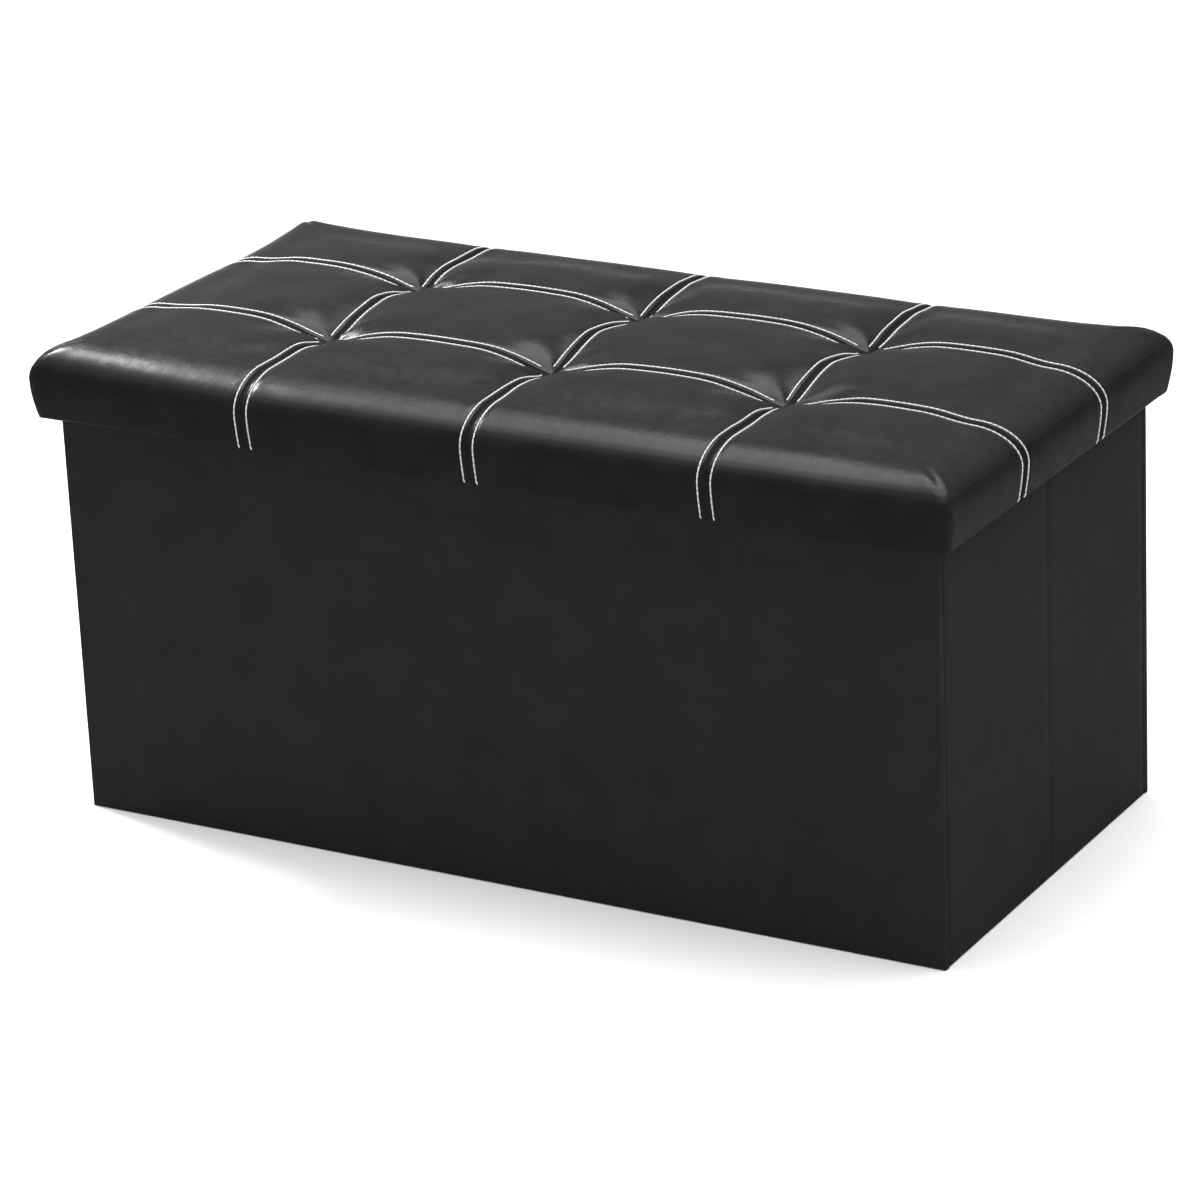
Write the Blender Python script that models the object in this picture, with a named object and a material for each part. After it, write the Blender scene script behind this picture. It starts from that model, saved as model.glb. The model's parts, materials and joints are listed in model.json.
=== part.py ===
"""Folding storage ottoman: a padded lid on a box whose end walls fold inwards.

Metres, +Z up. +X runs along the length, +Y to the back, origin at the bottom centre.
Each wall is a board between an outer covering and a lining. The two halves of an end
wall turn inwards on sewn hinges, which brings the back wall up to the front wall.
"""
import math

import bmesh
import bpy
from mathutils import Vector

# Whole object
LENGTH = 0.760
WIDTH = 0.380
HEIGHT = 0.380
GAP = 0.0003

# Box walls
OVERHANG = 0.012
WALL_HEIGHT = 0.345
BOARD = 0.0050
SKIN = 0.0012
LINING = 0.0008
BOARD_INSET = 0.0015
WALL = SKIN + GAP + BOARD + GAP + LINING
BOARD_HEIGHTS = (BOARD_INSET, WALL_HEIGHT - BOARD_INSET)
BOX_X = LENGTH / 2 - OVERHANG
BOX_Y = WIDTH / 2 - OVERHANG
INNER_X = BOX_X - WALL
INNER_Y = BOX_Y - WALL

# Fold of the end walls
CORNER_SET_IN = 0.0060
CORNER_AXIS_Y = INNER_Y - CORNER_SET_IN
MIDDLE_AXIS_X = BOX_X + 0.00025

# Base: two leaves above a cloth
CLOTH_LOW = 0.0010
LEAF_LOW = CLOTH_LOW + LINING + GAP
LEAF_BOARD = 0.0030
LEAF_TOP = LEAF_LOW + LEAF_BOARD + GAP + LINING
LEAF_AXIS_Y = INNER_Y - 0.0015
LEAF_END_CLEARANCE = 0.0008
RIBBON_WIDTH = 0.025
RIBBON_LENGTH = 0.060
RIBBON_EDGE = 0.006

# Lid
LID_BOTTOM = 0.321
COVER = 0.0012
RIM = 0.0040
RIM_INSET = 0.0047
LID_BOARD_INSET = 0.0030
LID_CORNER = 0.012
COVER_HEM_RADIUS = 0.006
COVER_TOP_RADIUS = 0.024
CORNER_STEPS = 4
COVER_TOP_STEPS = 6
COVER_HEM_STEPS = 3
RIM_LOW = LID_BOTTOM + 0.0020
LID_LINING_LOW = WALL_HEIGHT + 0.0005
LID_BOARD_LOW = LID_LINING_LOW + LINING + GAP
FOAM_LOW = LID_BOARD_LOW + BOARD + GAP
FOAM_HIGH = HEIGHT - COVER - GAP

# Tufts, three along the length and two across, each held by a tie
TUFT_X = {"left": -0.194, "middle": 0.0, "right": 0.194}
TUFT_Y = {"front": -0.067, "rear": 0.067}
TUFT_DEPTH = 0.0150
TIE_STEM_RADIUS = 0.0012
TIE_HEAD_RADIUS = 0.0040
TIE_FOOT_RADIUS = 0.0065
TIE_DISC = 0.0010
TIE_SIDES = 16


def clear_scene():
    for found in list(bpy.data.objects):
        bpy.data.objects.remove(found, do_unlink=True)


def make_material(name, colour, roughness):
    """A Principled material in one colour."""
    material = bpy.data.materials.new(name)
    material.use_nodes = True
    shader = material.node_tree.nodes["Principled BSDF"]
    shader.inputs["Base Color"].default_value = (*colour, 1.0)
    shader.inputs["Roughness"].default_value = roughness
    shader.inputs["Metallic"].default_value = 0.0
    return material


def add_object(name, shape, look, pivot=(0.0, 0.0, 0.0)):
    """Make an object of a bmesh, with its origin at pivot and its shape left in place."""
    bmesh.ops.recalc_face_normals(shape, faces=shape.faces)
    bmesh.ops.translate(shape, verts=shape.verts, vec=-Vector(pivot))
    mesh = bpy.data.meshes.new(name)
    shape.to_mesh(mesh)
    shape.free()
    made = bpy.data.objects.new(name, mesh)
    made.location = pivot
    colour, roughness = look
    mesh.materials.append(make_material(name, colour, roughness))
    bpy.context.scene.collection.objects.link(made)
    return made


def loft(shape, rings):
    """Join closed rings of points one after the other and close the first and the last."""
    loops = [[shape.verts.new(point) for point in ring] for ring in rings]
    count = len(loops[0])
    for lower, upper in zip(loops, loops[1:]):
        for i in range(count):
            j = (i + 1) % count
            shape.faces.new((lower[i], lower[j], upper[j], upper[i]))
    shape.faces.new(loops[0])
    shape.faces.new(loops[-1])


def prism(name, outline, low, high, look, pivot=(0.0, 0.0, 0.0)):
    """A flat piece: an outline in X and Y, from one height to another."""
    shape = bmesh.new()
    loft(shape, [[(x, y, z) for x, y in outline] for z in (low, high)])
    return add_object(name, shape, look, pivot)


def block(name, x_range, y_range, z_range, look, pivot=(0.0, 0.0, 0.0)):
    """A rectangular piece."""
    x_low, x_high = sorted(x_range)
    y_low, y_high = sorted(y_range)
    outline = [(x_low, y_low), (x_high, y_low), (x_high, y_high), (x_low, y_high)]
    return prism(name, outline, *z_range, look, pivot)


def arc(centre, radius, start, end, steps):
    """Points along an arc, between two angles in radians."""
    turns = [start + (end - start) * step / steps for step in range(steps + 1)]
    x, y = centre
    return [(x + radius * math.cos(turn), y + radius * math.sin(turn)) for turn in turns]


def rounded_outline(half_x, half_y, radius):
    """A rectangle about the origin with round corners, anticlockwise from its right side."""
    quarter = math.pi / 2
    points = []
    for corner, (side_x, side_y) in enumerate([(1, 1), (-1, 1), (-1, -1), (1, -1)]):
        centre = (side_x * (half_x - radius), side_y * (half_y - radius))
        points += arc(centre, radius, corner * quarter, (corner + 1) * quarter, CORNER_STEPS)
    return points


def lid_ring(inset, z):
    """The lid's outline moved in by inset, at one height."""
    radius = max(LID_CORNER - inset, 0.0005)
    outline = rounded_outline(LENGTH / 2 - inset, WIDTH / 2 - inset, radius)
    return [(x, y, z) for x, y in outline]


# Looks: linear colour and roughness
BLACK_LEATHER = ((0.016, 0.016, 0.017), 0.45)
PRESSED_BOARD = ((0.33, 0.24, 0.15), 0.85)
BLACK_LINING = ((0.020, 0.020, 0.020), 0.95)
PALE_FOAM = ((0.75, 0.70, 0.55), 0.90)
BLACK_RIBBON = ((0.012, 0.012, 0.012), 0.60)
WHITE_THREAD = ((0.60, 0.60, 0.58), 0.40)


def long_wall(side_name, side):
    """The front wall (side -1) or the back wall (side 1): covering, board and lining."""
    outer = side * BOX_Y
    board_out = side * (BOX_Y - SKIN - GAP)
    board_in = side * (INNER_Y + LINING + GAP)
    pivot = (INNER_X, side * CORNER_AXIS_Y, 0.0)
    skin = (outer, side * (BOX_Y - SKIN))
    block(f"{side_name}_skin", (-BOX_X, BOX_X), skin, (0.0, WALL_HEIGHT), BLACK_LEATHER, pivot)
    boarded = (-(BOX_X - BOARD_INSET), BOX_X - BOARD_INSET)
    board = (board_out, board_in)
    block(f"{side_name}_board", boarded, board, BOARD_HEIGHTS, PRESSED_BOARD, pivot)
    lined = (-INNER_X, INNER_X)
    faces = (side * (INNER_Y + LINING), side * INNER_Y)
    block(f"{side_name}_lining", lined, faces, (LEAF_TOP, WALL_HEIGHT), BLACK_LINING, pivot)


def end_half(end_name, end, half_name, side):
    """One half of an end wall, from its corner hinge to the crease in the middle of the end."""
    run = (side * (INNER_Y - GAP), side * GAP)
    if side < 0:
        pivot = (end * INNER_X, side * CORNER_AXIS_Y, 0.0)
    else:
        pivot = (end * MIDDLE_AXIS_X, 0.0, 0.0)
    name = f"{end_name}_{half_name}"
    boarded = (side * (INNER_Y - GAP - BOARD_INSET), side * (GAP + BOARD_INSET))
    skin = (end * BOX_X, end * (BOX_X - SKIN))
    board = (end * (BOX_X - SKIN - GAP), end * (INNER_X + LINING + GAP))
    lining = (end * (INNER_X + LINING), end * INNER_X)
    block(f"{name}_skin", skin, run, (0.0, WALL_HEIGHT), BLACK_LEATHER, pivot)
    block(f"{name}_board", board, boarded, BOARD_HEIGHTS, PRESSED_BOARD, pivot)
    block(f"{name}_lining", lining, run, (LEAF_TOP, WALL_HEIGHT), BLACK_LINING, pivot)


def leaf_outline(side, start):
    """A base leaf's outline: its ends are cut at 45 degrees, clear of the folding end walls."""
    near = LEAF_AXIS_Y - start
    far = GAP
    near_x = INNER_X - LEAF_END_CLEARANCE - start
    far_x = INNER_X - LEAF_END_CLEARANCE - (LEAF_AXIS_Y - far)
    return [(-near_x, side * near), (near_x, side * near), (far_x, side * far), (-far_x, side * far)]


def base_leaf(side_name, side):
    """The front leaf (side -1) or the rear leaf (side 1): a board under a cover."""
    pivot = (0.0, side * LEAF_AXIS_Y, LEAF_TOP)
    outline = leaf_outline(side, GAP)
    board_high = LEAF_LOW + LEAF_BOARD
    prism(f"base_{side_name}_board", outline, LEAF_LOW, board_high, PRESSED_BOARD, pivot)
    prism(f"base_{side_name}_cover", outline, board_high + GAP, LEAF_TOP, BLACK_LINING, pivot)


def pull_ribbon():
    """A ribbon on the front leaf, to lift the base by."""
    far = -RIBBON_EDGE
    near = far - RIBBON_LENGTH
    heights = (LEAF_TOP + GAP, LEAF_TOP + GAP + LINING)
    width = (-RIBBON_WIDTH / 2, RIBBON_WIDTH / 2)
    pivot = (0.0, -LEAF_AXIS_Y, LEAF_TOP)
    block("pull_ribbon", width, (near, far), heights, BLACK_RIBBON, pivot)


def floor_cloth():
    """The cloth sewn between the walls' lower edges, under the leaves."""
    reach_x = (-(INNER_X - GAP), INNER_X - GAP)
    reach_y = (-(INNER_Y - GAP), INNER_Y - GAP)
    block("floor_cloth", reach_x, reach_y, (CLOTH_LOW, CLOTH_LOW + LINING), BLACK_LINING)


def lid_rims():
    """Four boards that stand under the lid's board and keep the lid on the walls."""
    half_x = LENGTH / 2 - RIM_INSET
    half_y = WIDTH / 2 - RIM_INSET
    inner_x = half_x - RIM
    inner_y = half_y - RIM
    radius = LID_CORNER - RIM_INSET
    centre = (half_x - radius, half_y - radius)
    heights = (RIM_LOW, LID_BOARD_LOW - GAP)
    long_start = math.asin((inner_y + GAP - centre[1]) / radius)
    long_corner = arc(centre, radius, long_start, math.pi / 2, CORNER_STEPS)
    for side_name, side in (("front", -1), ("back", 1)):
        right = [(x, side * y) for x, y in long_corner]
        left = [(-x, y) for x, y in reversed(right)]
        prism(f"lid_rim_{side_name}", right + left, *heights, PRESSED_BOARD)
    end_stop = math.asin((inner_y - centre[1]) / radius)
    end_corner = arc(centre, radius, 0.0, end_stop, CORNER_STEPS)
    for end_name, end in (("left", -1), ("right", 1)):
        back = [(end * x, y) for x, y in end_corner]
        front = [(x, -y) for x, y in reversed(back)]
        inner = [(end * inner_x, inner_y), (end * inner_x, -inner_y)]
        prism(f"lid_rim_{end_name}", front + back + inner, *heights, PRESSED_BOARD)


def lid_lining():
    """The lining of the lid's underside, inside the rims."""
    half_x = LENGTH / 2 - RIM_INSET - RIM - GAP
    half_y = WIDTH / 2 - RIM_INSET - RIM - GAP
    heights = (LID_LINING_LOW, LID_LINING_LOW + LINING)
    block("lid_lining", (-half_x, half_x), (-half_y, half_y), heights, BLACK_LINING)


def lid_cover():
    """The lid's covering: a round-edged cap, turned in under the rims."""
    lip = RIM_INSET + RIM
    outside = [(lip, LID_BOTTOM)]
    hem_centre = (COVER_HEM_RADIUS, LID_BOTTOM + COVER_HEM_RADIUS)
    down, left, up = -math.pi / 2, -math.pi, -1.5 * math.pi
    outside += arc(hem_centre, COVER_HEM_RADIUS, down, left, COVER_HEM_STEPS)
    top_centre = (COVER_TOP_RADIUS, HEIGHT - COVER_TOP_RADIUS)
    outside += arc(top_centre, COVER_TOP_RADIUS, left, up, COVER_TOP_STEPS)
    inner_top = arc(top_centre, COVER_TOP_RADIUS - COVER, left, up, COVER_TOP_STEPS)
    inner_hem = arc(hem_centre, COVER_HEM_RADIUS - COVER, down, left, COVER_HEM_STEPS)
    inside = [(lip, LID_BOTTOM + COVER)] + inner_hem + inner_top
    path = list(reversed(inside)) + outside
    shape = bmesh.new()
    loft(shape, [lid_ring(inset, z) for inset, z in path])
    add_object("lid_cover", shape, BLACK_LEATHER)


def lid_foam():
    """The pad between the lid's board and its covering, pierced for the ties."""
    radius = COVER_TOP_RADIUS - COVER - GAP
    profile = [(COVER + GAP, FOAM_LOW)]
    centre = (COVER + GAP + radius, FOAM_HIGH - radius)
    profile += arc(centre, radius, -math.pi, -1.5 * math.pi, COVER_TOP_STEPS)
    shape = bmesh.new()
    loft(shape, [lid_ring(inset, z) for inset, z in profile])
    foam = add_object("lid_foam", shape, PALE_FOAM)
    seat = FOAM_HIGH - TUFT_DEPTH - TIE_DISC - GAP
    levels = [
        (TIE_STEM_RADIUS + GAP, FOAM_LOW - BOARD),
        (TIE_STEM_RADIUS + GAP, seat),
        (TIE_HEAD_RADIUS + GAP, seat),
        (TIE_HEAD_RADIUS + GAP, FOAM_HIGH + BOARD),
    ]
    cut(foam, "foam_holes", levels)


def lid_board():
    """The lid's board, pierced for the ties, with a shallow seat under each."""
    heights = (LID_BOARD_LOW, LID_BOARD_LOW + BOARD)
    shape = bmesh.new()
    loft(shape, [lid_ring(LID_BOARD_INSET, z) for z in heights])
    board = add_object("lid_board", shape, PRESSED_BOARD)
    seat = LID_BOARD_LOW + TIE_DISC + GAP
    levels = [
        (TIE_FOOT_RADIUS + GAP, LID_BOARD_LOW - BOARD),
        (TIE_FOOT_RADIUS + GAP, seat),
        (TIE_STEM_RADIUS + GAP, seat),
        (TIE_STEM_RADIUS + GAP, FOAM_LOW + BOARD),
    ]
    cut(board, "board_holes", levels)


def round_rings(centre_x, centre_y, levels):
    """Rings of points about an upright axis, one for each radius and height."""
    rings = []
    for radius, z in levels:
        circle = [2 * math.pi * side / TIE_SIDES for side in range(TIE_SIDES)]
        ring = [(centre_x + radius * math.cos(t), centre_y + radius * math.sin(t), z) for t in circle]
        rings.append(ring)
    return rings


def cut(target, name, levels):
    """Cut a stepped round hole at every tuft."""
    shape = bmesh.new()
    for x in TUFT_X.values():
        for y in TUFT_Y.values():
            loft(shape, round_rings(x, y, levels))
    cutter = add_object(name, shape, WHITE_THREAD)
    cutter.hide_render = True
    cutter.display_type = "WIRE"
    cutting = target.modifiers.new("ties", "BOOLEAN")
    cutting.operation = "DIFFERENCE"
    cutting.object = cutter


def tuft_ties():
    """Six ties, each a cord with a disc at either end, that pull the covering down."""
    foot = LID_BOARD_LOW + TIE_DISC
    head = FOAM_HIGH - TUFT_DEPTH
    levels = [
        (TIE_FOOT_RADIUS, LID_BOARD_LOW),
        (TIE_FOOT_RADIUS, foot),
        (TIE_STEM_RADIUS, foot),
        (TIE_STEM_RADIUS, head - TIE_DISC),
        (TIE_HEAD_RADIUS, head - TIE_DISC),
        (TIE_HEAD_RADIUS, head),
    ]
    for row_name, y in TUFT_Y.items():
        for place_name, x in TUFT_X.items():
            shape = bmesh.new()
            loft(shape, round_rings(x, y, levels))
            add_object(f"tuft_tie_{row_name}_{place_name}", shape, WHITE_THREAD)


def build():
    clear_scene()
    for side_name, side in (("front", -1), ("back", 1)):
        long_wall(side_name, side)
    for end_name, end in (("right", 1), ("left", -1)):
        end_half(end_name, end, "front", -1)
        end_half(end_name, end, "rear", 1)
    floor_cloth()
    for side_name, side in (("front", -1), ("rear", 1)):
        base_leaf(side_name, side)
    pull_ribbon()
    lid_rims()
    lid_lining()
    lid_board()
    lid_foam()
    lid_cover()
    tuft_ties()


build()
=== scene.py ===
"""Looks of a folding storage bench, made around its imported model.

Metres, +Z up, +X to the right end and +Y to the back. The lid is a tufted leather cap over
foam, the walls are leather panels over boards, and cloth hinges join the panels.
"""
import json
import math

import bpy
import numpy as np
from mathutils import Matrix, Vector


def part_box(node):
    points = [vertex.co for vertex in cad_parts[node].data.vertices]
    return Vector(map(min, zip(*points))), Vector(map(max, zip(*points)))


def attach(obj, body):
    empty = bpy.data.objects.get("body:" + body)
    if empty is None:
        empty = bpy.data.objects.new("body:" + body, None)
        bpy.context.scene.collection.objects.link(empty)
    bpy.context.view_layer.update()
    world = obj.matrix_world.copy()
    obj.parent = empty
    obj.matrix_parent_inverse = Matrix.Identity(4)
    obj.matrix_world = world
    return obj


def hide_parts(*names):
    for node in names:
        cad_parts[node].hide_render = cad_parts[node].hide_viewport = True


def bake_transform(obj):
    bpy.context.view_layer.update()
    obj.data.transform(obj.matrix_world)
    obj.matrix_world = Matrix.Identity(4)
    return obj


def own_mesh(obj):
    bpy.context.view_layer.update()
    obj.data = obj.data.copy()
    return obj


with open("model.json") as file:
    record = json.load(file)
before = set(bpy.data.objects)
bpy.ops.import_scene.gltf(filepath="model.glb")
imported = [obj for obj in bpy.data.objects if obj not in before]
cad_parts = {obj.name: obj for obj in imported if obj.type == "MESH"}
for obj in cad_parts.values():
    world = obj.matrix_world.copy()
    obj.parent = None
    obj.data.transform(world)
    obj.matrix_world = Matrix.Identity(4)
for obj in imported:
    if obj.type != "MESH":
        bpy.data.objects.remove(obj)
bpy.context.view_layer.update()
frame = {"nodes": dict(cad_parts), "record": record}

MM = 0.001
UP = np.array([0.0, 0.0, 1.0])

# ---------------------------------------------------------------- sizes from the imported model


def box_of(node):
    low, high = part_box(node)
    return np.array(low), np.array(high)


COVER_LOW, COVER_HIGH = box_of("lid_cover")
LID_X, LID_Y, LID_TOP = COVER_HIGH
LID_BOTTOM = COVER_LOW[2]
SKIN_LOW, SKIN_HIGH = box_of("front_skin")
WALL_X = SKIN_HIGH[0]
WALL_Y = -SKIN_LOW[1]
WALL_TOP = SKIN_HIGH[2]
WALL_INNER_Y = -box_of("front_lining")[1][1]
WALL_INNER_X = box_of("right_front_lining")[0][0]
WALL_THICK = WALL_Y - WALL_INNER_Y
RIM_INNER_X = box_of("lid_rim_right")[0][0]
LID_LINING_LOW, LID_LINING_HIGH = box_of("lid_lining")
FOAM_BOTTOM = box_of("lid_foam")[0][2]
LEAF_LOW = box_of("base_front_board")[0][2]
LEAF_TOP = box_of("base_front_cover")[1][2]

# Tufts and seams of the lid
TUFT_X = [float(np.mean(box_of(f"tuft_tie_front_{column}"), axis=0)[0])
          for column in ("left", "middle", "right")]
TUFT_Y = [float(np.mean(box_of(f"tuft_tie_{row}_middle"), axis=0)[1])
          for row in ("front", "rear")]
STITCH_ROW = 5.35 * MM

# The lid's outline. The covering stands BULGE proud of its hem, and its edge is rounded over
# EDGE_RUN, from EDGE_START degrees at the shoulder to upright at the widest point.
BULGE = 4.5 * MM
WIDE_X = LID_X + BULGE
WIDE_Y = LID_Y + BULGE
EDGE_RUN = 36 * MM
EDGE_START = 7.0
HALF_X = WIDE_X - EDGE_RUN
HALF_Y = WIDE_Y - EDGE_RUN
WIDEST_Z = LID_BOTTOM + 29 * MM
SHOULDER_Z = LID_TOP - 4.5 * MM
SIDE_TAPER = 3.0 * MM
HEM_RADIUS = 4.5 * MM
COVER_THICK = 1.0 * MM
CORNER_REACH = 55 * MM
EDGE_STEPS = 10
SIDE_STEPS = 5
HEM_STEPS = 5
# Rings of the rounded edge that keep the lit copy of the leather; below them the painted shade begins
LIT_LEATHER_RINGS = 4

# The lid's top: its crown, the valleys along the seams, the pits of the tufts and the small
# folds round them, the stitched grooves, and the darts and the filling of the corners
CROWN_RISE = 4.5 * MM
CROWN_POWER_X = 4.0
CROWN_POWER_Y = 2.6
CORNER_RISE = 3.2 * MM
RISE_START = 120 * MM
RISE_RUN_X = 240 * MM
RISE_RUN_Y = 250 * MM
VALLEY_DEPTH = 1.6 * MM
VALLEY_WIDTH = 20 * MM
PIT_DEPTH = 13.2 * MM
PIT_ALONG = 27 * MM
PIT_ACROSS = 18 * MM
PIT_POWER = 2.7
FOLD_RISE = 0.7 * MM
FOLD_REACH = 17 * MM
FOLD_WIDTH = 10 * MM
FOLDS_ROUND = 7
WAVE_RISE = 0.15 * MM
WAVE_PITCH = 75 * MM
GATHER_SHARE = 0.35
GATHER_WIDTH = 14 * MM
GROOVE_DEPTH = 1.5 * MM
GROOVE_HALF = 2.9 * MM
GROOVE_WIDTH = 2.1 * MM
BITE_DEPTH = 0.5 * MM
BITE_WIDTH = 1.3 * MM
PILLOW_RISE = 0.35 * MM
PILLOW_WIDTH = 3 * MM
CORNER_FILL = 2.8 * MM
CORNER_WIDTH = 30 * MM
DART_RISE = 0.6 * MM
DART_DEPTH = 1.2 * MM
DART_WIDTH = 2.4 * MM

# How the covering settles over the foam: the sheet's grid, and how far its points may move
SHEET_PITCH = 7 * MM
SETTLE_FRAMES = 20
SPARE_CLOTH = 0.015
FOAM_PRESSURE = 3.0
MOST_MOVE = 4 * MM
FADE_AT_EDGE = 45 * MM
HELD_ROUND_TUFT = 5 * MM
HELD_AT_EDGE = 1 * MM
SOFTEN_PASSES = 3

# Grid pitches of the covering and of the foam under it
COVER_PITCH = 4.2 * MM
FOAM_PITCH = 9 * MM


# ---------------------------------------------------------------- small helpers


def smooth(value):
    """Smooth step from 0 to 1."""
    t = np.clip(value, 0.0, 1.0)
    return t * t * (3 - 2 * t)


def bell(distance, width):
    """1 at no distance, falling off over the width."""
    return np.exp(-((distance / width) ** 2))


def spread(half, pitch, marks=(), offsets=(0.0,)):
    """Coordinates from -half to half about a pitch apart, and exactly at marks plus offsets."""
    fixed = sorted({round(mark + offset, 6) for mark in marks for offset in offsets} | {-half, half})
    fixed = [value for value in fixed if -half <= value <= half]
    values = []
    for low, high in zip(fixed, fixed[1:]):
        steps = max(1, round((high - low) / pitch))
        values += [low + (high - low) * step / steps for step in range(steps)]
    return np.array(values + [half])


def grid_faces(rows, columns, flipped=False):
    """Faces of a grid of points that are numbered row by row."""
    faces = []
    for row in range(rows - 1):
        for a in range(row * columns, row * columns + columns - 1):
            b = a + columns
            faces.append((a, a + 1, b + 1, b) if flipped else (a, b, b + 1, a + 1))
    return faces


def mesh_object(name, points, faces, material=None, is_smooth=True):
    """An object from points and faces."""
    mesh = bpy.data.meshes.new(name)
    mesh.from_pydata([tuple(map(float, point)) for point in points], [], faces)
    mesh.update()
    if is_smooth:
        mesh.shade_smooth()
    made = bpy.data.objects.new(name, mesh)
    bpy.context.scene.collection.objects.link(made)
    if material:
        mesh.materials.append(material)
    return made


def thicken(piece, thickness, offset=-1.0):
    """Give an open mesh a thickness."""
    solid = piece.modifiers.new("thickness", "SOLIDIFY")
    solid.thickness = thickness
    solid.offset = offset
    solid.use_even_offset = False


# ---------------------------------------------------------------- materials


# Scales of the textures, in repeats per metre
FLOOR_SCALE = 1.5
CLOUD_SCALE = 18.0
MOTTLE_SCALE = 26.0
WEAR_SCALE = 90.0
DRAPE_SCALE = 115.0
RIB_SCALE = 260.0
DOT_SCALE = 430.0
FLECK_SCALE = 520.0
FIBRE_SCALE = 700.0
PEBBLE_SCALE = 820.0
FOAM_CELL_SCALE = 900.0
TWIST_SCALE = 1500.0
PORE_SCALE = 1900.0


def new_material(name, colour, roughness, specular=0.5):
    material = bpy.data.materials.new(name)
    material.use_nodes = True
    shader = material.node_tree.nodes["Principled BSDF"]
    shader.inputs["Base Color"].default_value = (*colour, 1.0)
    shader.inputs["Roughness"].default_value = roughness
    shader.inputs["Specular IOR Level"].default_value = specular
    return material, material.node_tree, shader


def add_noise(tree, coordinates, scale, detail=2.0, roughness=0.5):
    noise = tree.nodes.new("ShaderNodeTexNoise")
    noise.inputs["Scale"].default_value = scale
    noise.inputs["Detail"].default_value = detail
    noise.inputs["Roughness"].default_value = roughness
    tree.links.new(coordinates, noise.inputs["Vector"])
    return noise.outputs["Fac"]


def add_ramp(tree, source, stops):
    """A colour ramp over a factor: stops are pairs of place and linear colour."""
    ramp = tree.nodes.new("ShaderNodeValToRGB")
    while len(ramp.color_ramp.elements) < len(stops):
        ramp.color_ramp.elements.new(0.5)
    for element, (place, colour) in zip(ramp.color_ramp.elements, stops):
        element.position = place
        element.color = (*colour, 1.0)
    tree.links.new(source, ramp.inputs["Fac"])
    return ramp.outputs["Color"]


def add_range(tree, source, low, high):
    """Map the middle part of a factor, 0.3 to 0.7, onto a range."""
    mapped = tree.nodes.new("ShaderNodeMapRange")
    mapped.inputs["From Min"].default_value = 0.3
    mapped.inputs["From Max"].default_value = 0.7
    mapped.inputs["To Min"].default_value = low
    mapped.inputs["To Max"].default_value = high
    tree.links.new(source, mapped.inputs["Value"])
    return mapped.outputs["Result"]


def add_bump(tree, height, distance, strength, under=None):
    bump = tree.nodes.new("ShaderNodeBump")
    bump.inputs["Distance"].default_value = distance
    bump.inputs["Strength"].default_value = strength
    tree.links.new(height, bump.inputs["Height"])
    if under is not None:
        tree.links.new(under, bump.inputs["Normal"])
    return bump.outputs["Normal"]


def add_cells(tree, coordinates, scale, feature="DISTANCE_TO_EDGE"):
    cells = tree.nodes.new("ShaderNodeTexVoronoi")
    cells.feature = feature
    cells.inputs["Scale"].default_value = scale
    tree.links.new(coordinates, cells.inputs["Vector"])
    return cells.outputs["Distance"]


def object_place(tree):
    return tree.nodes.new("ShaderNodeTexCoord").outputs["Object"]


def connect(tree, shader, colour, normal):
    tree.links.new(colour, shader.inputs["Base Color"])
    tree.links.new(normal, shader.inputs["Normal"])


def leather_material(name, dark, light, rough_low, rough_high, specular, drape_strength):
    """Coated black leather cloth: pebbled grain, soft mottling and a broad dull shine."""
    material, tree, shader = new_material(name, dark, rough_low, specular)
    place = object_place(tree)
    mottle = add_noise(tree, place, MOTTLE_SCALE, 4.0, 0.6)
    colour = add_ramp(tree, mottle, [(0.35, dark), (0.65, light)])
    wear = add_noise(tree, place, WEAR_SCALE, 3.0, 0.55)
    tree.links.new(add_range(tree, wear, rough_low, rough_high), shader.inputs["Roughness"])
    pebbles = add_cells(tree, place, PEBBLE_SCALE)
    pores = add_noise(tree, place, PORE_SCALE, 1.0, 0.5)
    drape = add_noise(tree, place, DRAPE_SCALE, 3.0, 0.5)
    normal = add_bump(tree, drape, 0.9 * MM, drape_strength)
    normal = add_bump(tree, pebbles, 0.25 * MM, 0.35, normal)
    normal = add_bump(tree, pores, 0.06 * MM, 0.25, normal)
    connect(tree, shader, colour, normal)
    return material


def felt_material():
    """Spun cloth with pressed dots and loose fibres."""
    dark, light = (0.011, 0.011, 0.011), (0.030, 0.030, 0.031)
    material, tree, shader = new_material("black_felt", dark, 0.95, 0.15)
    place = object_place(tree)
    fibres = add_noise(tree, place, FIBRE_SCALE, 5.0, 0.7)
    colour = add_ramp(tree, fibres, [(0.35, dark), (0.7, light)])
    dots = add_cells(tree, place, DOT_SCALE, "F1")
    normal = add_bump(tree, dots, 0.35 * MM, 0.5)
    normal = add_bump(tree, fibres, 0.25 * MM, 0.6, normal)
    connect(tree, shader, colour, normal)
    shader.inputs["Sheen Weight"].default_value = 0.25
    return material


def board_material():
    """Pressed board: pale brown, speckled with fibres."""
    material, tree, shader = new_material("pressed_board", (0.30, 0.21, 0.13), 0.85, 0.3)
    place = object_place(tree)
    flecks = add_noise(tree, place, FLECK_SCALE, 4.0, 0.65)
    clouds = add_noise(tree, place, CLOUD_SCALE, 3.0, 0.5)
    speckle = add_ramp(tree, flecks, [(0.3, (0.19, 0.12, 0.065)), (0.7, (0.38, 0.27, 0.165))])
    mixer = tree.nodes.new("ShaderNodeMixRGB")
    mixer.blend_type = "MULTIPLY"
    mixer.inputs["Fac"].default_value = 0.35
    tree.links.new(speckle, mixer.inputs["Color1"])
    tree.links.new(clouds, mixer.inputs["Color2"])
    connect(tree, shader, mixer.outputs["Color"], add_bump(tree, flecks, 0.2 * MM, 0.5))
    return material


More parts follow.
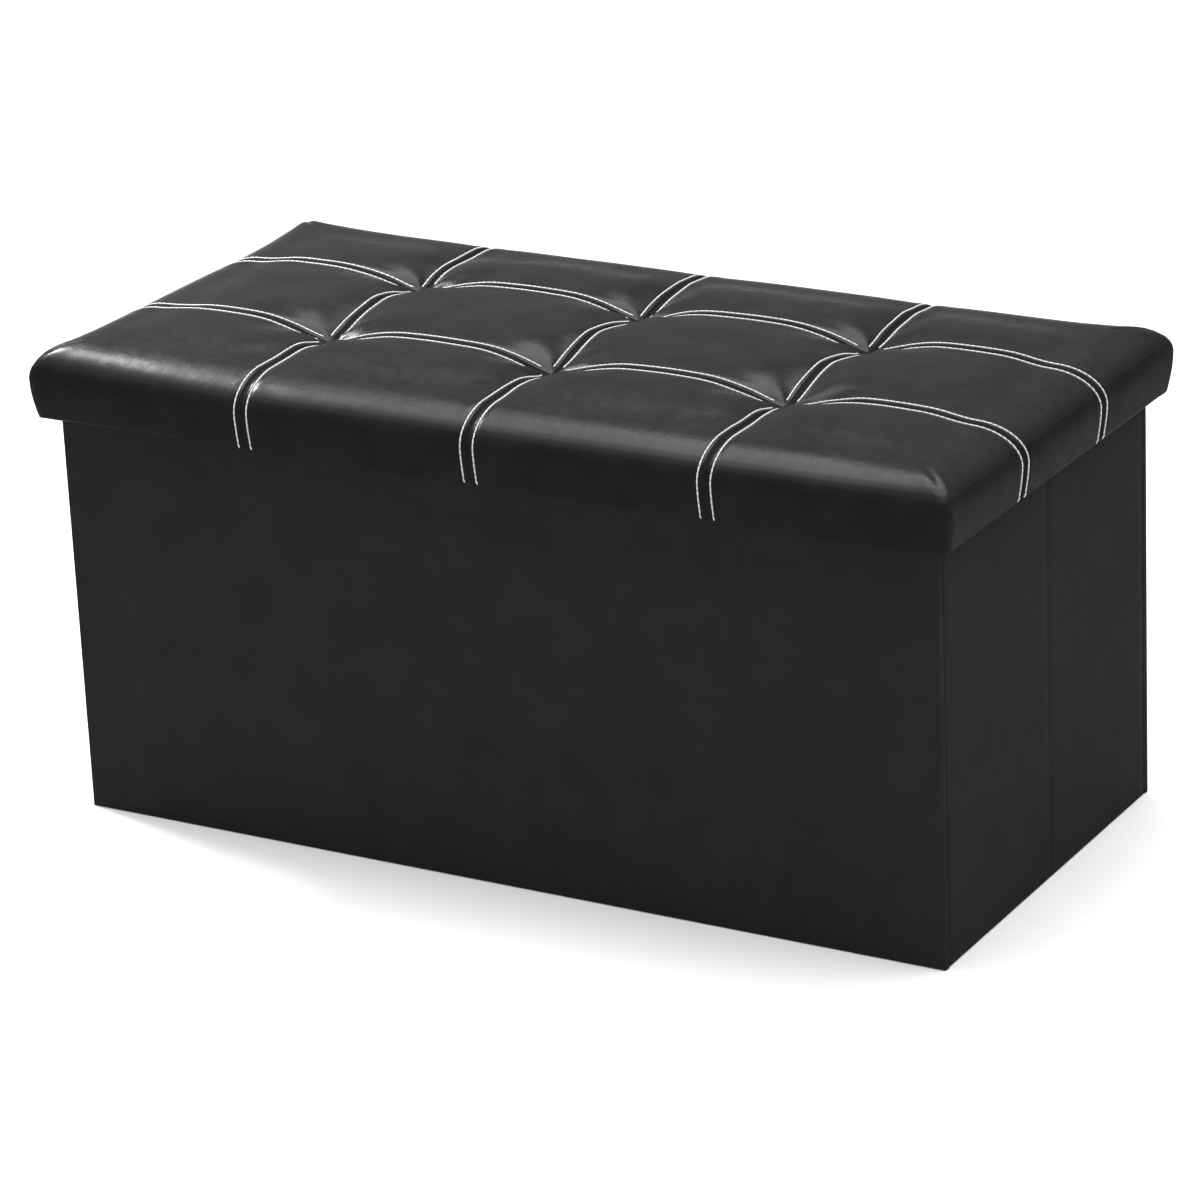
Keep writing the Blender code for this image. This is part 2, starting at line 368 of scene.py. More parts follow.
def foam_material():
    """Open-celled foam."""
    material, tree, shader = new_material("pale_foam", (0.72, 0.66, 0.48), 0.9, 0.2)
    place = object_place(tree)
    cells = add_cells(tree, place, FOAM_CELL_SCALE, "F1")
    tone = add_ramp(tree, cells, [(0.0, (0.55, 0.49, 0.33)), (0.8, (0.78, 0.72, 0.54))])
    connect(tree, shader, tone, add_bump(tree, cells, 0.5 * MM, 0.6))
    return material


def thread_material():
    """White twisted thread."""
    material, tree, shader = new_material("white_thread", (0.62, 0.62, 0.60), 0.55, 0.4)
    place = object_place(tree)
    twist = add_noise(tree, place, TWIST_SCALE, 2.0, 0.5)
    tone = add_ramp(tree, twist, [(0.3, (0.46, 0.46, 0.45)), (0.7, (0.72, 0.72, 0.70))])
    connect(tree, shader, tone, add_bump(tree, twist, 0.15 * MM, 0.5))
    return material


def ribbon_material():
    """Black grosgrain ribbon, ribbed across its width."""
    material, tree, shader = new_material("black_ribbon", (0.010, 0.010, 0.011), 0.55, 0.35)
    place = object_place(tree)
    ribs = tree.nodes.new("ShaderNodeTexWave")
    ribs.bands_direction = "Y"
    ribs.inputs["Scale"].default_value = RIB_SCALE
    ribs.inputs["Distortion"].default_value = 0.3
    tree.links.new(place, ribs.inputs["Vector"])
    dark, light = (0.007, 0.007, 0.008), (0.022, 0.022, 0.024)
    tone = add_ramp(tree, ribs.outputs["Fac"], [(0.2, dark), (0.8, light)])
    connect(tree, shader, tone, add_bump(tree, ribs.outputs["Fac"], 0.3 * MM, 0.7))
    return material


def floor_material():
    material, tree, shader = new_material("pale_floor", (0.86, 0.86, 0.86), 0.75, 0.1)
    tone = add_noise(tree, object_place(tree), FLOOR_SCALE, 2.0, 0.5)
    colour = add_ramp(tree, tone, [(0.2, (0.85, 0.85, 0.85)), (0.8, (0.88, 0.88, 0.88))])
    tree.links.new(colour, shader.inputs["Base Color"])
    return material


def grey(value):
    """A nearly neutral dark colour, very slightly blue."""
    return value, value, value * 1.02


# The lid's leather as a lit copy and darker copies, with painted shade: from its shiny top down to its
# dull side the greys step darker and the shine drops. For each: the dark and the light grey, the least and
# the most roughness, and the shine
LID_LIT_AND_SHADED_LOOKS = ((0.0105, 0.0150, 0.22, 0.32, 0.20),
             (0.0100, 0.0140, 0.26, 0.36, 0.14),
             (0.0092, 0.0130, 0.34, 0.44, 0.08),
             (0.0088, 0.0122, 0.46, 0.56, 0.015))
LID_DRAPE = 0.22
WALL_DRAPE = 0.10
LID_LIT_AND_SHADED_LEATHERS = [leather_material(f"lid_painted_shade_leather_{step}", grey(dark), grey(light), low, high, shine,
                                 LID_DRAPE)
                for step, (dark, light, low, high, shine) in enumerate(LID_LIT_AND_SHADED_LOOKS)]
WALL_LEATHER = leather_material("wall_leather", grey(0.0158), grey(0.0180), 0.48, 0.58, 0.006,
                                WALL_DRAPE)
# The seam leather is far darker than the walls': painted shade in the gaps at the box's corners
SEAM_SHADE_LEATHER = leather_material("seam_painted_shade_leather", grey(0.0060), grey(0.0080), 0.60, 0.70, 0.03,
                                WALL_DRAPE)
FELT = felt_material()
BOARD = board_material()
FOAM = foam_material()
THREAD = thread_material()
RIBBON = ribbon_material()


# ---------------------------------------------------------------- trays: a face with turned-down edges


class Tray:
    """A rectangular face, a grid, with rings of points that turn down round its edges."""

    def __init__(self, us, vs, ring_count, corner_reach):
        self.us, self.vs = us, vs
        self.reach = corner_reach
        count_u, count_v = len(us), len(vs)
        lower = [(i, 0) for i in range(count_u - 1)]
        right = [(count_u - 1, j) for j in range(count_v - 1)]
        upper = [(i, count_v - 1) for i in range(count_u - 1, 0, -1)]
        left = [(0, j) for j in range(count_v - 1, 0, -1)]
        self.border = lower + right + upper + left
        self.ring_count = ring_count

    def face_points(self):
        """Flat coordinates of the face's grid, and of the border once for every ring."""
        grid_u, grid_v = np.meshgrid(self.us, self.vs, indexing="ij")
        border_u = np.array([self.us[i] for i, j in self.border])
        border_v = np.array([self.vs[j] for i, j in self.border])
        return grid_u, grid_v, border_u, border_v

    def push_out(self, values, half):
        """-1 to 1: how far a border point goes with the ring, all the way at the corners."""
        reach = min(self.reach, half)
        return np.sign(values) * np.clip((np.abs(values) - (half - reach)) / reach, 0.0, 1.0)

    def grid_index(self, i, j):
        return i * len(self.vs) + j

    def ring_index(self, ring, place):
        if ring == 0:
            return self.grid_index(*self.border[place])
        return len(self.us) * len(self.vs) + (ring - 1) * len(self.border) + place

    def faces(self):
        made = grid_faces(len(self.us), len(self.vs))
        count = len(self.border)
        for ring in range(self.ring_count):
            for place in range(count):
                after = (place + 1) % count
                made.append((self.ring_index(ring, place), self.ring_index(ring + 1, place),
                             self.ring_index(ring + 1, after), self.ring_index(ring, after)))
        return made

    def line(self, along_u, value, last_ring):
        """Vertex numbers of the grid line at one flat value, from one side's last ring to the other's."""
        values = self.vs if along_u else self.us
        k = int(np.argmin(np.abs(values - value)))
        if along_u:
            first, last = (0, k), (len(self.us) - 1, k)
            middle = [self.grid_index(i, k) for i in range(len(self.us))]
        else:
            first, last = (k, 0), (k, len(self.vs) - 1)
            middle = [self.grid_index(k, j) for j in range(len(self.vs))]
        start, end = self.border.index(first), self.border.index(last)
        down = [self.ring_index(ring, start) for ring in range(last_ring, 0, -1)]
        up = [self.ring_index(ring, end) for ring in range(1, last_ring + 1)]
        return down + middle + up


def add_tray(name, us, vs, path, corner_reach, place, material):
    """A tray whose rings follow path, a list of (grow, drop).

    place turns flat coordinates and a drop into points; the drop is 0.0 for the face itself.
    """
    tray = Tray(us, vs, len(path), corner_reach)
    grid_u, grid_v, border_u, border_v = tray.face_points()
    points = [place(grid_u.ravel(), grid_v.ravel(), 0.0)]
    for grow, drop in path:
        out_u = border_u + grow * tray.push_out(border_u, us[-1])
        out_v = border_v + grow * tray.push_out(border_v, vs[-1])
        points.append(place(out_u, out_v, drop))
    return mesh_object(name, np.vstack(points), tray.faces(), material)


def wavy(a, b, pitch, seed):
    """A smooth, irregular wave of about -1 to 1 over two coordinates."""
    total = np.zeros_like(a)
    for k in range(5):
        turn = 2.4 * k + seed
        along = math.cos(turn) * a + math.sin(turn) * b
        total += np.sin(2 * math.pi * along / (pitch * (1 + 0.23 * k)) + 1.7 * seed + k)
    return total / 3.0


def oriented(origin, axis_u, axis_v, normal):
    """A place function for a face at origin: flat coordinates and depth below the face."""
    origin, axis_u, axis_v, normal = (np.array(v, dtype=float) for v in (origin, axis_u, axis_v, normal))

    def place(u, v, drop):
        return origin + np.outer(u, axis_u) + np.outer(v, axis_v) - np.multiply.outer(drop + 0 * u, normal)

    return place


# ---------------------------------------------------------------- the lid's covering


def seam_distance(value, seams):
    """How far each value is from the nearest seam."""
    return np.min(np.abs(np.subtract.outer(value, np.array(seams))), axis=-1)


def tuft_fields(x, y):
    """Vector from the nearest tuft, its length, and which tuft it is."""
    centres = np.array([(tx, ty) for tx in TUFT_X for ty in TUFT_Y])
    to_x = np.subtract.outer(x, centres[:, 0])
    to_y = np.subtract.outer(y, centres[:, 1])
    nearest = np.argmin(to_x**2 + to_y**2, axis=-1)
    rows = np.arange(len(nearest))
    near_x, near_y = to_x[rows, nearest], to_y[rows, nearest]
    return near_x, near_y, np.hypot(near_x, near_y), nearest


def crown(x, y):
    """0 at the top's edge to 1 in its middle."""
    rise_x = 1 - (np.abs(x) / HALF_X) ** CROWN_POWER_X
    rise_y = 1 - (np.abs(y) / HALF_Y) ** CROWN_POWER_Y
    return rise_x * rise_y


def corner_rise(x, y):
    """The padding stands a little higher towards the front left corner."""
    share = smooth((-x - RISE_START) / RISE_RUN_X) * smooth((RISE_START - y) / RISE_RUN_Y)
    return CORNER_RISE * share


def top_height(x, y):
    """The top before it is stitched: its crown, the valleys along the seams and the tufts' pits."""
    near_x, near_y, reach, nearest = tuft_fields(x, y)
    rise = crown(x, y)
    height = SHOULDER_Z + CROWN_RISE * rise + corner_rise(x, y)
    to_seam = np.minimum(seam_distance(x, TUFT_X), seam_distance(y, TUFT_Y))
    height -= VALLEY_DEPTH * bell(to_seam, VALLEY_WIDTH) * (0.3 + 0.7 * rise)
    turn = np.arctan2(near_y, near_x)
    along_seams = np.cos(2 * turn) ** 2
    width = PIT_ACROSS + (PIT_ALONG - PIT_ACROSS) * along_seams
    height -= PIT_DEPTH / (1 + (reach / width) ** PIT_POWER)
    fold_zone = bell(reach - FOLD_REACH, FOLD_WIDTH) * smooth(to_seam / FOLD_WIDTH)
    height += FOLD_RISE * fold_zone * np.cos(FOLDS_ROUND * turn + 2.1 * nearest)
    return height + WAVE_RISE * wavy(x, y, WAVE_PITCH, 3.0)


def seam_relief(x, y):
    """Depth of the stitching: a groove between two sewn rows, which themselves bite in."""
    _, _, reach, _ = tuft_fields(x, y)
    relief = np.zeros_like(x)
    for distance in (seam_distance(x, TUFT_X), seam_distance(y, TUFT_Y)):
        relief -= GROOVE_DEPTH * bell(distance, GROOVE_WIDTH)
        relief -= BITE_DEPTH * bell(distance - STITCH_ROW, BITE_WIDTH)
        relief += PILLOW_RISE * bell(distance - STITCH_ROW - 4 * MM, PILLOW_WIDTH)
    return relief * smooth((reach - 5 * MM) / (9 * MM))


def lid_profile():
    """Points (inset, z) from the shoulder over the rounded edge, down the side and under the hem."""
    path = [(EDGE_RUN, SHOULDER_Z)]
    first = math.radians(EDGE_START)
    for step in range(1, EDGE_STEPS + 1):
        turn = first + (math.pi / 2 - first) * step / EDGE_STEPS
        out = (math.sin(turn) - math.sin(first)) / (1 - math.sin(first))
        rise = math.cos(turn) / math.cos(first)
        path.append((EDGE_RUN * (1 - out), WIDEST_Z + (SHOULDER_Z - WIDEST_Z) * rise))
    hem_top = LID_BOTTOM + HEM_RADIUS
    for step in range(1, SIDE_STEPS + 1):
        t = step / SIDE_STEPS
        path.append((SIDE_TAPER * t**1.6, WIDEST_Z + (hem_top - WIDEST_Z) * t))
    for step in range(1, HEM_STEPS + 1):
        turn = step / HEM_STEPS * math.pi / 2
        inset = SIDE_TAPER + HEM_RADIUS * (1 - math.cos(turn))
        path.append((inset, hem_top - HEM_RADIUS * math.sin(turn)))
    lip = WIDE_X - RIM_INNER_X + 0.6 * MM
    path.append((lip - 0.4 * MM, LID_BOTTOM + 0.1 * MM))
    path.append((lip, LID_BOTTOM + 0.8 * MM))
    path.append((lip, LID_BOTTOM + 9 * MM))
    return path


def soften(moves):
    """Average each inner point's move with its neighbours', so that no sharp wrinkle is left."""
    for _ in range(SOFTEN_PASSES):
        around = moves[:-2, 1:-1] + moves[2:, 1:-1] + moves[1:-1, :-2] + moves[1:-1, 2:]
        moves[1:-1, 1:-1] = moves[1:-1, 1:-1] / 2 + around / 8
    return moves


def settle_top():
    """Puff a sheet of cloth up between the edge and the tufts that hold it; how far each point moves."""
    us, vs = spread(HALF_X, SHEET_PITCH, TUFT_X), spread(HALF_Y, SHEET_PITCH, TUFT_Y)
    grid_u, grid_v = np.meshgrid(us, vs, indexing="ij")
    x, y = grid_u.ravel(), grid_v.ravel()
    start = np.column_stack([x, y, top_height(x, y)])
    moves = np.zeros_like(start)
    tray = Tray(us, vs, 0, 0.0)
    sheet = mesh_object("settling_sheet", start, tray.faces())
    _, _, reach, _ = tuft_fields(x, y)
    edge = np.minimum(HALF_X - np.abs(x), HALF_Y - np.abs(y))
    fixed = np.flatnonzero((reach < HELD_ROUND_TUFT) | (edge < HELD_AT_EDGE))
    held = sheet.vertex_groups.new(name="held")
    held.add([int(k) for k in fixed], 1.0, "REPLACE")
    cloth = sheet.modifiers.new("cloth", "CLOTH")
    cloth.collision_settings.use_collision = False
    cloth.point_cache.frame_end = SETTLE_FRAMES
    fabric = cloth.settings
    fabric.vertex_group_mass = held.name
    fabric.mass = 0.3
    fabric.tension_stiffness = 60.0
    fabric.compression_stiffness = 30.0
    fabric.shear_stiffness = 15.0
    fabric.bending_stiffness = 1.5
    fabric.shrink_min = -SPARE_CLOTH
    fabric.use_pressure = True
    fabric.uniform_pressure_force = FOAM_PRESSURE
    fabric.effector_weights.gravity = 0.0
    scene = bpy.context.scene
    for number in range(1, SETTLE_FRAMES + 1):
        scene.frame_set(number)
    settled = sheet.evaluated_get(bpy.context.evaluated_depsgraph_get())
    places = np.empty(len(start) * 3)
    settled.data.vertices.foreach_get("co", places)
    moves = places.reshape(-1, 3) - start
    far = np.linalg.norm(moves, axis=1, keepdims=True)
    capped = np.minimum(1.0, MOST_MOVE / np.maximum(far, 1e-9))
    moves *= capped * smooth(edge / FADE_AT_EDGE)[:, None]
    scene.frame_set(1)
    bpy.data.objects.remove(sheet)
    return us, vs, soften(moves.reshape(len(us), len(vs), 3))


def settled_move(settled, x, y):
    """The settled sheet's move at any flat place, read between its points."""
    us, vs, moves = settled
    at_u = np.clip(np.searchsorted(us, x, side="right") - 1, 0, len(us) - 2)
    at_v = np.clip(np.searchsorted(vs, y, side="right") - 1, 0, len(vs) - 2)
    part_u = ((x - us[at_u]) / (us[at_u + 1] - us[at_u]))[:, None]
    part_v = ((y - vs[at_v]) / (vs[at_v + 1] - vs[at_v]))[:, None]
    lower = moves[at_u, at_v] * (1 - part_u) + moves[at_u + 1, at_v] * part_u
    upper = moves[at_u, at_v + 1] * (1 - part_u) + moves[at_u + 1, at_v + 1] * part_u
    return lower * (1 - part_v) + upper * part_v


def cover_points(tray, settled, profile, skin):
    """The covering's points on a tray's grid and rings, moved inwards by skin."""
    grid_u, grid_v, border_u, border_v = tray.face_points()
    x, y = grid_u.ravel(), grid_v.ravel()
    near_x, near_y, reach, _ = tuft_fields(x, y)
    pull = GATHER_SHARE * bell(reach, GATHER_WIDTH)
    height = top_height(x, y) + seam_relief(x, y) - skin
    top = np.column_stack([x - near_x * pull, y - near_y * pull, height])
    points = [top + settled_move(settled, x, y)]
    out_u = tray.push_out(border_u, HALF_X)
    out_v = tray.push_out(border_v, HALF_Y)
    raised = corner_rise(border_u, border_v)
    relief = seam_relief(border_u, border_v) + top_height(border_u, border_v) - SHOULDER_Z - raised
    from_corner = np.maximum(HALF_X - np.abs(border_u), HALF_Y - np.abs(border_v))
    dart = DART_RISE * bell(from_corner - 6 * MM, 4 * MM) - DART_DEPTH * bell(from_corner, DART_WIDTH)
    filled = CORNER_FILL * bell(from_corner, CORNER_WIDTH)
    for ring in range(1, len(profile)):
        inset, z = profile[ring]
        before, after = profile[ring - 1], profile[min(ring + 1, len(profile) - 1)]
        run, drop = before[0] - after[0], before[1] - after[1]
        length = math.hypot(run, drop)
        normal_out, normal_z = drop / length, run / length
        outside = 1.0 if ring <= EDGE_STEPS + SIDE_STEPS + 2 else 0.0
        fullness = math.sin(math.pi * min(ring / EDGE_STEPS, 1.0)) ** 1.5
        lift = (relief + dart) * outside + filled * fullness - skin
        grow = EDGE_RUN - inset + normal_out * lift
        share = max(0.0, (z - WIDEST_Z) / (SHOULDER_Z - WIDEST_Z))
        height = z + normal_z * lift + raised * share
        points.append(np.column_stack([border_u + grow * out_u, border_v + grow * out_v, height]))
    return np.vstack(points)


def make_lid_cover(settled):
    across = [0.0, 0.9, 1.8, 2.8, 4.0, 6.7, 8.5, 11.5]
    offsets = [side * value * MM for value in across for side in (-1, 1)] + [STITCH_ROW, -STITCH_ROW]
    near_edge = (1.0, 2.5, 5.0)
    extra_u = [side * (HALF_X - value * MM) for side in (-1, 1) for value in near_edge]
    extra_v = [side * (HALF_Y - value * MM) for side in (-1, 1) for value in near_edge]
    us = np.unique(np.append(spread(HALF_X, COVER_PITCH, TUFT_X, offsets), extra_u))
    vs = np.unique(np.append(spread(HALF_Y, COVER_PITCH, TUFT_Y, offsets), extra_v))
    profile = lid_profile()
    tray = Tray(us, vs, len(profile) - 1, CORNER_REACH)
    cover = mesh_object("lid_cover_leather", cover_points(tray, settled, profile, 0.0), tray.faces())
    # The lit copy and the darker painted-shade copies of the lid's leather
    for leather in LID_LIT_AND_SHADED_LEATHERS:
        cover.data.materials.append(leather)
    cover.data.polygons.foreach_set("material_index", painted_shade_steps(tray))
    return cover, tray


def painted_shade_steps(tray):
    """Which copy of the leather each face has: painted shade, darker and duller copies down the rounded
    edge, and the darkest copy in the seams' grooves.
    """
    middle_u = (tray.us[:-1] + tray.us[1:]) / 2
    middle_v = (tray.vs[:-1] + tray.vs[1:]) / 2
    last = len(LID_LIT_AND_SHADED_LEATHERS) - 1
    # Faces in the seams' grooves get the darkest copy: painted shade in the grooves
    shaded_seam_u = seam_distance(middle_u, TUFT_X) < GROOVE_HALF
    shaded_seam_v = seam_distance(middle_v, TUFT_Y) < GROOVE_HALF
    steps = [np.where(np.logical_or.outer(shaded_seam_u, shaded_seam_v), last, 0).ravel()]
    _, _, border_u, border_v = tray.face_points()
    next_u, next_v = np.roll(border_u, -1), np.roll(border_v, -1)
    ring_u, ring_v = (border_u + next_u) / 2, (border_v + next_v) / 2
    to_seam = np.minimum(seam_distance(ring_u, TUFT_X), seam_distance(ring_v, TUFT_Y))
    # Down the rounded edge the copies step darker: painted shade on the lid's side
    for ring in range(tray.ring_count):
        step = min(max(ring - LIT_LEATHER_RINGS, 0), last)
        steps.append(np.where(to_seam < GROOVE_HALF, last, step))
    return np.concatenate(steps).astype(np.int32)


def vertex_arrays(piece):
    """The places and the normals of a piece's vertices."""
    mesh = piece.data
    count = len(mesh.vertices)
    places = np.empty(count * 3)
    normals = np.empty(count * 3)
    mesh.vertices.foreach_get("co", places)
    mesh.vertex_normals.foreach_get("vector", normals)
    return places.reshape(-1, 3), normals.reshape(-1, 3)


# ---------------------------------------------------------------- stitches


STITCH_LENGTH = 4.3 * MM
STITCH_GAP = 0.20 * MM
THREAD_RADIUS = 0.60 * MM
STITCH_SIDES = 6
STITCH_LIFT = 0.60 * THREAD_RADIUS
TUFT_CLEARANCE = 11 * MM


def stitch_shape():
    """A stitch along +X: a rounded rod, as points and faces."""
    stations = [(-0.50, 0.45), (-0.46, 0.85), (-0.32, 1.0), (0.32, 1.0), (0.46, 0.85), (0.50, 0.45)]
    points, faces = [], []
    for along, girth in stations:
        for side in range(STITCH_SIDES):
            turn = 2 * math.pi * side / STITCH_SIDES
            points.append((along * STITCH_LENGTH, math.cos(turn) * girth * THREAD_RADIUS,
                           math.sin(turn) * girth * THREAD_RADIUS))
    for station in range(len(stations) - 1):
        for side in range(STITCH_SIDES):
            after = (side + 1) % STITCH_SIDES
            a, b = station * STITCH_SIDES, (station + 1) * STITCH_SIDES
            faces.append((a + side, a + after, b + after, b + side))
    faces.append(tuple(range(STITCH_SIDES - 1, -1, -1)))
    last = (len(stations) - 1) * STITCH_SIDES
    faces.append(tuple(range(last, last + STITCH_SIDES)))
    return np.array(points), faces


def resample(places, normals, pitch):
    """Even points along a polyline: place, direction and normal."""
    steps = np.linalg.norm(np.diff(places, axis=0), axis=1)
    run = np.concatenate([[0.0], np.cumsum(steps)])
    count = int(run[-1] // pitch)
    wanted = (np.arange(count) + 0.5) * run[-1] / count
    made = []
    for s in wanted:
        k = min(np.searchsorted(run, s, side="right") - 1, len(steps) - 1)
        t = (s - run[k]) / steps[k]
        along = places[k + 1] - places[k]
        normal = normals[k] * (1 - t) + normals[k + 1] * t
        made.append((places[k] + along * t, along / np.linalg.norm(along), normal))
    return made


def add_stitches(name, rows, keep=lambda place: True):
    """Stitches along rows, each a polyline of places with normals."""
    shape, shape_faces = stitch_shape()
    points, faces = [], []
    for places, normals in rows:
        for place, along, normal in resample(places, normals, STITCH_LENGTH + STITCH_GAP):
            if not keep(place):
                continue
            normal = normal - along * np.dot(normal, along)
            normal /= np.linalg.norm(normal)
            side = np.cross(normal, along)
            turn = np.column_stack([along, side, normal])
            start = len(points) * len(shape)
            points.append(shape @ turn.T + place + normal * STITCH_LIFT)
            faces += [tuple(start + k for k in face) for face in shape_faces]
    return mesh_object(name, np.vstack(points), faces, THREAD)


def lid_stitch_rows(cover, tray):
    """The lines of the two sewn rows beside each of the lid's seams."""
    places, normals = vertex_arrays(cover)
    last_ring = EDGE_STEPS + SIDE_STEPS + 3
    rows = []
    for along_u, seams in ((False, TUFT_X), (True, TUFT_Y)):
        for seam in seams:
            for side in (-1, 1):
                line = tray.line(along_u, seam + side * STITCH_ROW, last_ring)
                rows.append((places[line], normals[line]))
    return rows


def clear_of_tufts(place):
    _, _, reach, _ = tuft_fields(np.array([place[0]]), np.array([place[1]]))
    return reach[0] > TUFT_CLEARANCE


# ---------------------------------------------------------------- inside the lid


def make_lid_foam(settled):
    """The foam under the covering: the covering's own shape, a little smaller, with a flat base."""
    offsets = [side * value * MM for side in (-1, 1) for value in (0.0, 2.5, 5.4, 9.0, 14.0)]
    us = spread(HALF_X, FOAM_PITCH, TUFT_X, offsets)
    vs = spread(HALF_Y, FOAM_PITCH, TUFT_Y, offsets)
    skin = COVER_THICK + 0.5 * MM
    profile = [point for point in lid_profile()[:EDGE_STEPS + 1] if point[1] - skin > FOAM_BOTTOM + 1 * MM]
    profile.append((profile[-1][0], FOAM_BOTTOM + skin))
    tray = Tray(us, vs, len(profile) - 1, CORNER_REACH)
    points = cover_points(tray, settled, profile, skin)
    last = len(points) - len(tray.border)
    points[last:, 2] = FOAM_BOTTOM
    faces = tray.faces()
    faces.append(tuple(tray.ring_index(len(profile) - 1, place) for place in range(len(tray.border))))
    foam = mesh_object("lid_foam_pad", points, faces, FOAM)
    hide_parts("lid_foam")
    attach(foam, "lid")


def make_lid_lining():
    """Spun cloth over the underside of the lid, turned up against the rims."""
    half_x = LID_LINING_HIGH[0] - 2 * MM
    half_y = LID_LINING_HIGH[1] - 2 * MM
    us, vs = spread(half_x, 14 * MM, TUFT_X), spread(half_y, 14 * MM, TUFT_Y)
    flat = oriented((0, 0, LID_LINING_LOW[2]), (1, 0, 0), (0, -1, 0), (0, 0, -1))

    def place(u, v, drop):
        points = flat(u, v, drop)
        if drop == 0.0:
            near = smooth((half_x - np.abs(u)) / (20 * MM)) * smooth((half_y - np.abs(v)) / (20 * MM))
            points[:, 2] += near * 0.25 * MM * (1 + wavy(u, v, 60 * MM, 1.0))
        return points

    path = [(1.4 * MM, -0.2 * MM), (1.9 * MM, -1.4 * MM), (2.0 * MM, -12 * MM)]
    lining = add_tray("lid_underside_lining", us, vs, path, 30 * MM, place, FELT)
    thicken(lining, 0.5 * MM)
    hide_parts("lid_lining")
    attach(lining, "lid")


# ---------------------------------------------------------------- walls


PANEL_RADIUS = 1.7 * MM
RETURN_WIDTH = 8.0 * MM
LINING_INSET = 7.0 * MM
PANEL_CORNER = 12 * MM
TURN_RADIUS = 1.2 * MM


def panel_path(thickness):
    """A leather panel's edge: round it, down over the board's edge, and back over the inside."""
    path = []
    for turn in np.linspace(0, math.pi / 2, 5)[1:]:
        path.append((PANEL_RADIUS * math.sin(turn), PANEL_RADIUS * (1 - math.cos(turn))))
    deep = thickness - 0.35 * MM
    for turn in np.linspace(0, math.pi / 2, 4):
        grow = PANEL_RADIUS - TURN_RADIUS * (1 - math.cos(turn))
        path.append((grow, deep - TURN_RADIUS * (1 - math.sin(turn))))
    path.append((PANEL_RADIUS - RETURN_WIDTH, deep))
    return path


def make_wall_panel(name, body, low, high, normal, seed):
    """Leather round one wall's board, from the box of its CAD covering, and its lining inside."""
    normal = np.array(normal, dtype=float)
    along = np.array([abs(normal[1]), abs(normal[0]), 0.0])
    centre = (low + high) / 2
    size = high - low
    outer = centre + normal * np.abs(np.dot(size, np.abs(normal))) / 2
    half_u = np.dot(size, along) / 2
    half_v = size[2] / 2
    axis_u = np.cross(UP, normal)
    flat = oriented(outer, axis_u, UP, normal)
    face_u, face_v = half_u - PANEL_RADIUS, half_v - PANEL_RADIUS

    def place(u, v, drop):
        edge = np.minimum(face_u - np.abs(u), face_v - np.abs(v))
        sink = 0.30 * MM * (1 + wavy(u, v, 170 * MM, seed)) * smooth(edge / (45 * MM))
        return flat(u, v, sink if drop == 0.0 else drop)

    us, vs = spread(face_u, 11 * MM), spread(face_v, 11 * MM)
    path = panel_path(WALL_THICK)
    panel = add_tray(f"{name}_leather", us, vs, path, PANEL_CORNER, place, WALL_LEATHER)
    thicken(panel, 0.8 * MM)
    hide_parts(f"{name}_skin")
    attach(panel, body)

    inner_u, inner_v = half_u - LINING_INSET, half_v - LINING_INSET
    inside = oriented(outer - normal * WALL_THICK, -axis_u, UP, -normal)

    def place_lining(u, v, drop):
        edge = np.minimum(inner_u - np.abs(u), inner_v - np.abs(v))
        sink = 0.22 * MM * (1 + wavy(u, v, 90 * MM, seed + 4)) * smooth(edge / (25 * MM))
        return inside(u, v, sink if drop == 0.0 else drop)

    path = [(0.25 * MM, 0.10 * MM), (0.35 * MM, 0.40 * MM)]
    lining = add_tray(f"{name}_lining_cloth", spread(inner_u, 12 * MM), spread(inner_v, 12 * MM),
                      path, PANEL_CORNER, place_lining, FELT)
    thicken(lining, 0.35 * MM)
    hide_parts(f"{name}_lining")
    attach(lining, body)


def make_walls():
    for wall, normal, seed in (("front", (0, -1, 0), 0.3), ("back", (0, 1, 0), 1.1)):
        low, high = box_of(f"{wall}_skin")
        make_wall_panel(wall, f"{wall}_wall", low, high, normal, seed)
    for end, side in (("right", 1), ("left", -1)):
        for half in ("front", "rear"):
            name = f"{end}_{half}"
            low, high = box_of(f"{name}_skin")
            make_wall_panel(name, f"{name}_half", low, high, (side, 0, 0), 2.0 + side + len(half))


# ---------------------------------------------------------------- cloth hinges


def add_strip(name, section, low_z, high_z, material, thickness, bodies):
    """An upright strip that follows a line of points in plan; it is attached to its body if it has one,
    and left unattached if it has two.
    """
    zs = np.linspace(low_z, high_z, 24)
    points = [(x, y, z) for z in zs for x, y in section]
    strip = mesh_object(name, points, grid_faces(len(zs), len(section), True), material)
    thicken(strip, thickness, 0.0)
    if len(bodies) == 1:
        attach(strip, bodies[0])
    else:
        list(bodies)
        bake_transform(strip)
    width = sum(math.dist(a, b) for a, b in zip(section, section[1:]))


def steps_between(a, b, count):
    return [tuple(np.array(a) + (np.array(b) - np.array(a)) * k / count) for k in range(count + 1)]


